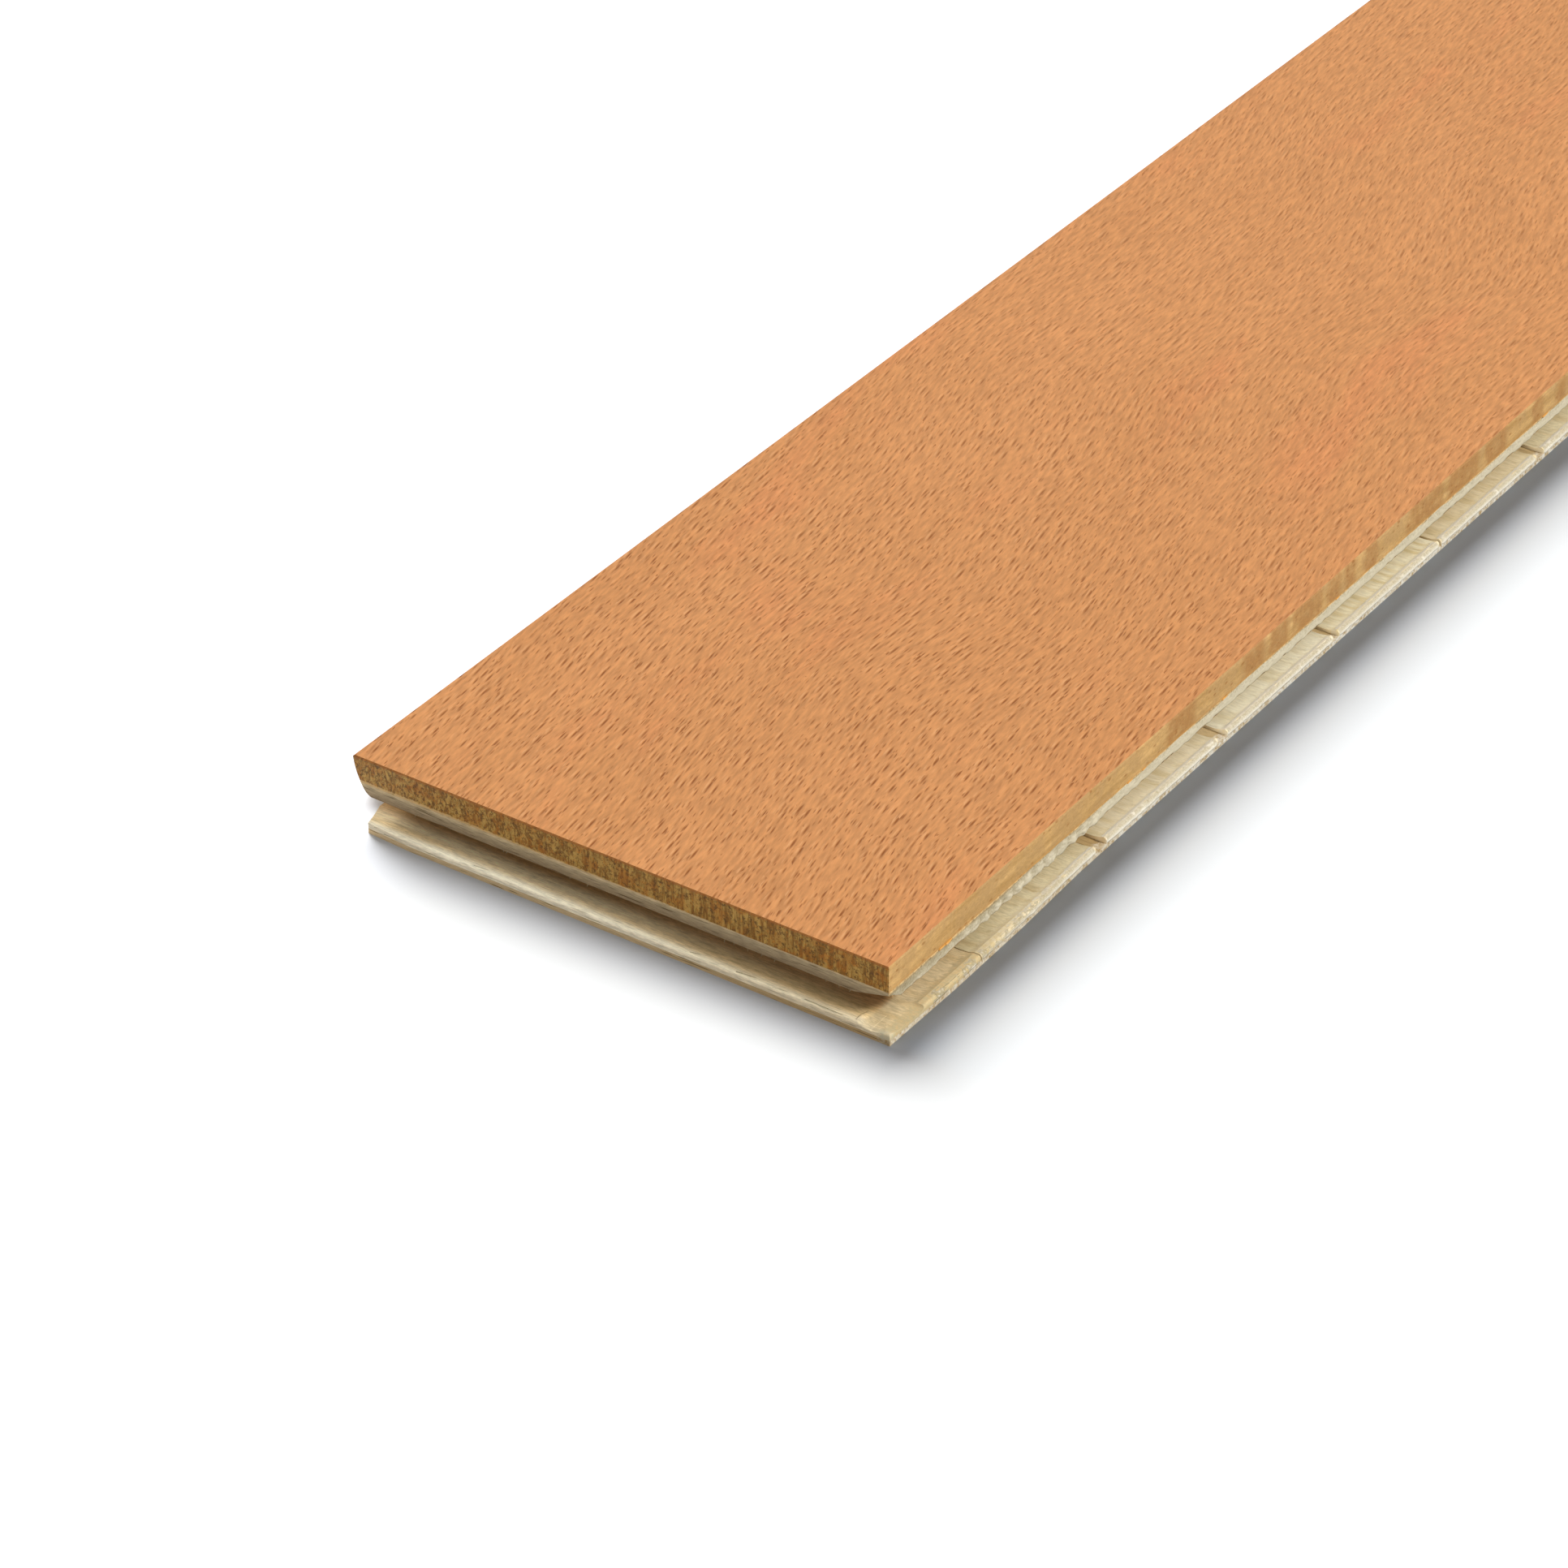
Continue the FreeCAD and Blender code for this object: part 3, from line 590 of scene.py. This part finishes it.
# Splinters on the near lip's crest and front. For each one, in mm: how far its start and its end are from the
# right edge, how far they are in from the lip's edge, how high they are, and its thickness
splinters = np.array((
    (32.6, 28.2, 0.5, 0.9, 2.45, 2.62, 0.5), (43.9, 41.6, 0.7, 1.2, 2.4, 2.6, 0.3),
    (48.8, 46.4, 0.05, 0.0, 0.9, 1.35, 0.35), (73.4, 71.2, 0.1, 0.0, 1.45, 0.75, 0.22),
    (72.6, 71.9, 0.05, 0.0, 0.75, 1.3, 0.14), (96.5, 93.0, 0.5, 0.7, 2.45, 2.58, 0.25),
    (121.5, 112.0, 0.35, 0.55, 2.1, 2.35, 0.3), (119.0, 106.0, 0.1, 0.1, 1.5, 1.75, 0.25),
    (24.0, 20.6, 0.35, 0.5, 2.4, 2.58, 0.28), (16.5, 7.5, 0.55, 0.35, 2.45, 2.6, 0.4),
    (10.5, 3.5, 0.2, 0.15, 1.9, 2.2, 0.3), (60.2, 58.6, 0.05, 0.05, 1.1, 0.8, 0.18),
    (83.0, 80.8, 0.05, 0.05, 0.9, 1.15, 0.2), (37.5, 35.2, 0.1, 0.05, 1.7, 1.5, 0.25)))
start_y, end_y, start_in, end_in, start_z, end_z, thickness = splinters.T
lip_x = cad_low[0] / mm + 0.2
fibres("short_lip_splinters", (lip_x + start_in, right_y + start_y, start_z), (lip_x + end_in, right_y + end_y, end_z),
       thickness, (0.0, 0.0, 0.0), 0.45, lip_crust_finish)


# The backing is a peeled spruce veneer of 1.2 mm with its grain along the board. It shows at the bottom of
# the open joints and as the lowest line of the edges.
backing = softwood("spruce_backing_veneer", "#C6AC7E", "#B69B6C", "#7A6038", "#E8E2D2", "#E0C8A0", 6.0, 0.15, 0.5)
# Its near edge is painted darker and browner to the right, as shade for light that comes from the left, and its top is
# browner in the first wide joint
tree = backing.node_tree
spot = add(tree, "SeparateXYZ", {0: in_mm(tree)})
painted_shade_to_right = graded(tree, spot["Y"], lip_right, lip_left, (0.77, 0.71, 0.62, 1.0), plain)
toned(tree, graded(tree, spot["X"], near_x - 4.9, near_x - 4.4, painted_shade_to_right, plain))
toned(tree, graded(tree, spot["X"], near_x + 76.0, near_x + 80.0, (0.93, 0.88, 0.8, 1.0), plain))
finished("backing_veneer", backing)


# Studio floor of pale paper: it keeps the board's shadow and is white in view wherever light reaches it. Near the
# board it is painted darker and cooler, painted shade that deepens the shadow and takes back the warm light that the
# wood throws on it.
floor_mesh = bpy.data.meshes.new("studio_floor")
floor_mesh.from_pydata([(-6, -6, 0), (6, -6, 0), (6, 6, 0), (-6, 6, 0)], [], [(0, 1, 2, 3)])
floor = bpy.data.objects.new("studio_floor", floor_mesh)
bpy.context.scene.collection.objects.link(floor)
paper = bpy.data.materials.new("matt_white_paper")
paper.use_nodes = True
tree = paper.node_tree
place = add(tree, "TexCoord", {})["Object"]
to_the_left = add(tree, "SeparateXYZ", {0: place})["Y"]
place = add(tree, "VectorMath", {0: place}, operation="ABSOLUTE")["Vector"]
place = add(tree, "VectorMath", {0: place, 1: (cad_high[0], cad_high[1], 0.0)}, operation="SUBTRACT")["Vector"]
past_end = add(tree, "SeparateXYZ", {0: place})["X"]
place = add(tree, "VectorMath", {0: place, 1: (0.0, 0.0, 0.0)}, operation="MAXIMUM")["Vector"]
away = add(tree, "VectorMath", {0: place}, operation="LENGTH")["Value"]
close_painted_shade = graded(tree, past_end, -4 * mm, 2 * mm, colour("#C3CBD6"), colour("#D1D3D7"))
wide = graded(tree, past_end, -4 * mm, 2 * mm, colour("#D5D7D8"), colour("#D7D8D8"))
shade = graded(tree, away, 0.0, 13 * mm, close_painted_shade, wide)
shade = graded(tree, to_the_left, 30 * mm, 60 * mm, shade, colour("#D3D5D9"))
paper_shader = tree.nodes["Principled BSDF"]
tree.links.new(shade, paper_shader.inputs["Base Color"])
paper_shader.inputs["Roughness"].default_value = 1.0
paper_shader.inputs["Specular IOR Level"].default_value = 0.0
floor_mesh.materials.append(paper)

# Light: a weak even surround, a soft lamp from behind on the left that throws the shadow to the front right
# of the board, two more that thin this shadow at the left end and in front, and for the board itself a soft
# lamp from the right, whose light goes in under the upper lip, and two weak ones from the left and the front.
# One more goes in under the left end of the upper lip, onto the lamella below it, and one into the open joints.
world = bpy.data.worlds.new("studio_surround")
bpy.context.scene.world = world
world.use_nodes = True
seen = add(world.node_tree, "LightPath", {})
seen = add(world.node_tree, "Math", {0: seen["Is Camera Ray"], 1: seen["Is Glossy Ray"]}, operation="MAXIMUM")[0]
level = add(world.node_tree, "MapRange", {"Value": seen, "To Min": 0.19, "To Max": 1.0})[0]
surround = world.node_tree.nodes["Background"]
world.node_tree.links.new(level, surround.inputs["Strength"])
surround.inputs["Color"].default_value = (1, 1, 1, 1)


def group(name, things):
    """Collection of the things that a lamp lights."""
    lit = bpy.data.collections.new(name)
    for thing in things:
        lit.objects.link(thing)
    return lit


def lamp(name, towards, strength, spread, lit):
    """A distant soft lamp that stands in the direction towards and lights the things in lit."""
    light = bpy.data.lights.new(name, "SUN")
    light.energy = strength
    light.angle = math.radians(spread)
    holder = bpy.data.objects.new(name, light)
    holder.rotation_euler = Vector(towards).to_track_quat("Z", "Y").to_euler()
    holder.light_linking.receiver_collection = lit
    bpy.context.scene.collection.objects.link(holder)


lamella_pieces = [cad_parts[name] for name in lamellas]
board_parts = group("board_parts", [o for o in bpy.context.scene.objects if o.type == "MESH" and o != floor])
floor_only = group("floor_only", [floor])
near_lip = group("near_lip", lamella_pieces[:1])
beyond_first = group("beyond_first", lamella_pieces[1:])
lamp("back_left_on_floor", (1.06, 1.19, 1.0), 7.8, 40, floor_only)
lamp("low_left_on_floor", (0.66, 1.0, 0.3), 2.8, 30, floor_only)
lamp("front_on_floor", (-1.0, 0.35, 0.4), 1.2, 40, floor_only)
lamp("right_on_board", (0.22, -0.70, 0.68), 3.1, 20, board_parts)
lamp("left_on_board", (0.1, 0.85, 0.4), 0.8, 40, board_parts)
lamp("front_on_board", (-1.0, -0.1, 0.35), 0.56, 60, board_parts)
lamp("front_on_joints", (-1.0, -0.1, 0.35), 1.5, 30, beyond_first)
lamp("left_on_near_lip", (0.4, 0.9, 0.36), 2.5, 22, near_lip)

# Camera: where it stood for the photograph, to the left of the near end, looking down 34 degrees.
view = bpy.data.cameras.new("photograph")
view.lens = 129.33
view.sensor_width = 36.0
view.clip_end = 30.0
viewer = bpy.data.objects.new("photograph", view)
viewer.location = (-1.27823, -0.541585, 0.64678)
viewer.rotation_euler = Euler((math.radians(90 - 34.0642), 0.0, math.radians(-55.5849)))
bpy.context.scene.collection.objects.link(viewer)
bpy.context.scene.camera = viewer
bpy.context.scene.view_settings.view_transform = "Standard"
